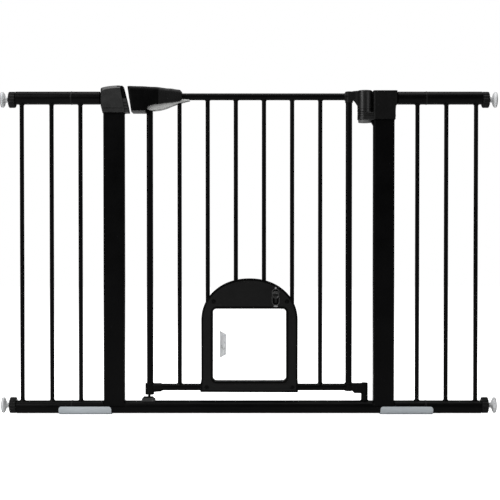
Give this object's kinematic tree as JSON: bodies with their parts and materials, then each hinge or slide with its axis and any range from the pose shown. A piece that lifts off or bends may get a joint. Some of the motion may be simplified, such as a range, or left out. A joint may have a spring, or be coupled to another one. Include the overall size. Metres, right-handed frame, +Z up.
{
  "type": "pet gate",
  "caption": "Pressure-mounted walk-through pet gate: a barred self-closing door with a grip handle and an arched pet door, in a frame widened by extension kits and held by screw-out wall pads.",
  "frame": {"origin": "middle of the span between the wall pads, on the floor line, in the plane of the tubes", "axes": "+X across the opening towards the hinge side, +Y through the gate away from the side pictured, +Z up"},
  "size_m": [1.148, 0.044, 0.763],
  "materials": {
    "black_steel": "satin black powder coat",
    "black_plastic": "fine-textured black moulding",
    "grey_plastic": "smooth light grey moulding",
    "trigger_grey": "smooth mid grey moulding",
    "zinc_steel": "bright zinc plating",
    "clear_sheet": "clear transparent sheet",
    "frosted_plastic": "translucent light grey moulding",
    "pad_plastic": "pale silvery grey moulding"
  },
  "bodies": {
    "frame": {"bottom_rail": "black_steel", "post_left": "black_steel", "post_right": "black_steel", "strike_housing": "black_plastic", "hinge_bracket": "black_plastic", "hinge_pin": "zinc_steel", "closing_spring": "zinc_steel", "latch_base": "black_plastic", "lower_hinge_socket": "black_plastic", "join_clip_left": "grey_plastic", "join_clip_right": "grey_plastic", "inner_kit_left_top_tube": "black_steel", "outer_kit_left_top_tube": "black_steel", "inner_kit_left_bottom_tube": "black_steel", "outer_kit_left_bottom_tube": "black_steel", "inner_kit_left_bar": "black_steel", "outer_kit_left_bar_1": "black_steel", "outer_kit_left_bar_2": "black_steel", "inner_kit_right_top_tube": "black_steel", "outer_kit_right_top_tube": "black_steel", "inner_kit_right_bottom_tube": "black_steel", "outer_kit_right_bottom_tube": "black_steel", "inner_kit_right_bar": "black_steel", "outer_kit_right_bar_1": "black_steel", "outer_kit_right_bar_2": "black_steel"},
    "door_hinge": {"hinge_sleeve": "zinc_steel"},
    "door": {"door_top_rail": "black_steel", "door_bottom_rail": "black_steel", "door_stile_left": "black_steel", "door_stile_right": "black_steel", "door_bar_1": "black_steel", "door_bar_2": "black_steel", "door_bar_3": "black_steel", "door_bar_4": "black_steel", "door_bar_5": "black_steel", "door_bar_6": "black_steel", "hinge_arm": "black_plastic", "lower_hinge_arm": "black_plastic", "latch_foot": "black_plastic", "handle_front_shell": "black_plastic", "handle_back_shell": "black_plastic", "pet_frame_front": "black_plastic", "pet_frame_back": "black_plastic"},
    "trigger": {"trigger": "trigger_grey"},
    "latch_bolt": {"latch_bolt": "zinc_steel"},
    "flap": {"flap_panel": "clear_sheet", "flap_grip": "frosted_plastic"},
    "flap_lock": {"flap_lock": "black_plastic"},
    "nut_left_top": {"hand_nut_left_top": "black_plastic"},
    "screw_left_top": {"screw_left_top": "zinc_steel", "wall_pad_left_top": "pad_plastic"},
    "nut_left_bottom": {"hand_nut_left_bottom": "black_plastic"},
    "screw_left_bottom": {"screw_left_bottom": "zinc_steel", "wall_pad_left_bottom": "pad_plastic"},
    "nut_right_top": {"hand_nut_right_top": "black_plastic"},
    "screw_right_top": {"screw_right_top": "zinc_steel", "wall_pad_right_top": "pad_plastic"},
    "nut_right_bottom": {"hand_nut_right_bottom": "black_plastic"},
    "screw_right_bottom": {"screw_right_bottom": "zinc_steel", "wall_pad_right_bottom": "pad_plastic"}
  },
  "joints": [
    {"name": "door_swing", "type": "hinge", "parent": "frame", "child": "door_hinge", "pos_m": [0.269, 0, 0.715], "axis": [0, 0, 1], "range_deg": [-90, 90], "stiffness_Nm_per_rad": 1.2},
    {"name": "door_lift", "type": "slide", "parent": "door_hinge", "child": "door", "axis": [0, 0, 1], "range_m": [0, 0.01]},
    {"name": "trigger_squeeze", "type": "hinge", "parent": "door", "child": "trigger", "pos_m": [-0.172, 0, 0.726], "axis": [0, 1, 0], "range_deg": [0, 6], "stiffness_Nm_per_rad": 1, "springref_deg": -5.73},
    {"name": "bolt_retract", "type": "slide", "parent": "door", "child": "latch_bolt", "axis": [1, 0, 0], "range_m": [0, 0.0061]},
    {"name": "flap_swing", "type": "hinge", "parent": "door", "child": "flap", "pos_m": [0.0785, 0, 0.163], "axis": [0, 0, 1], "range_deg": [-90, 90]},
    {"name": "flap_lock_slide", "type": "slide", "parent": "door", "child": "flap_lock", "axis": [0, 0, -1], "range_m": [0, 0.01]},
    {"name": "nut_turn_left_top", "type": "hinge", "parent": "frame", "child": "nut_left_top", "pos_m": [-0.549, 0, 0.731], "axis": [-1, 0, 0], "range_deg": [0, 3605]},
    {"name": "screw_slide_left_top", "type": "slide", "parent": "frame", "child": "screw_left_top", "axis": [-1, 0, 0], "range_m": [0, 0.03]},
    {"name": "nut_turn_left_bottom", "type": "hinge", "parent": "frame", "child": "nut_left_bottom", "pos_m": [-0.549, 0, 0.0215], "axis": [-1, 0, 0], "range_deg": [0, 3605]},
    {"name": "screw_slide_left_bottom", "type": "slide", "parent": "frame", "child": "screw_left_bottom", "axis": [-1, 0, 0], "range_m": [0, 0.03]},
    {"name": "nut_turn_right_top", "type": "hinge", "parent": "frame", "child": "nut_right_top", "pos_m": [0.549, 0, 0.731], "axis": [1, 0, 0], "range_deg": [0, 3605]},
    {"name": "screw_slide_right_top", "type": "slide", "parent": "frame", "child": "screw_right_top", "axis": [1, 0, 0], "range_m": [0, 0.03]},
    {"name": "nut_turn_right_bottom", "type": "hinge", "parent": "frame", "child": "nut_right_bottom", "pos_m": [0.549, 0, 0.0215], "axis": [1, 0, 0], "range_deg": [0, 3605]},
    {"name": "screw_slide_right_bottom", "type": "slide", "parent": "frame", "child": "screw_right_bottom", "axis": [1, 0, 0], "range_m": [0, 0.03]}
  ],
  "couplings": [
    {"joint": "bolt_retract", "follows": "trigger_squeeze", "m_per_rad": 0.057},
    {"joint": "nut_turn_left_top", "follows": "screw_slide_left_top", "rad_per_m": 2094.4},
    {"joint": "nut_turn_left_bottom", "follows": "screw_slide_left_bottom", "rad_per_m": 2094.4},
    {"joint": "nut_turn_right_top", "follows": "screw_slide_right_top", "rad_per_m": 2094.4},
    {"joint": "nut_turn_right_bottom", "follows": "screw_slide_right_bottom", "rad_per_m": 2094.4}
  ]
}
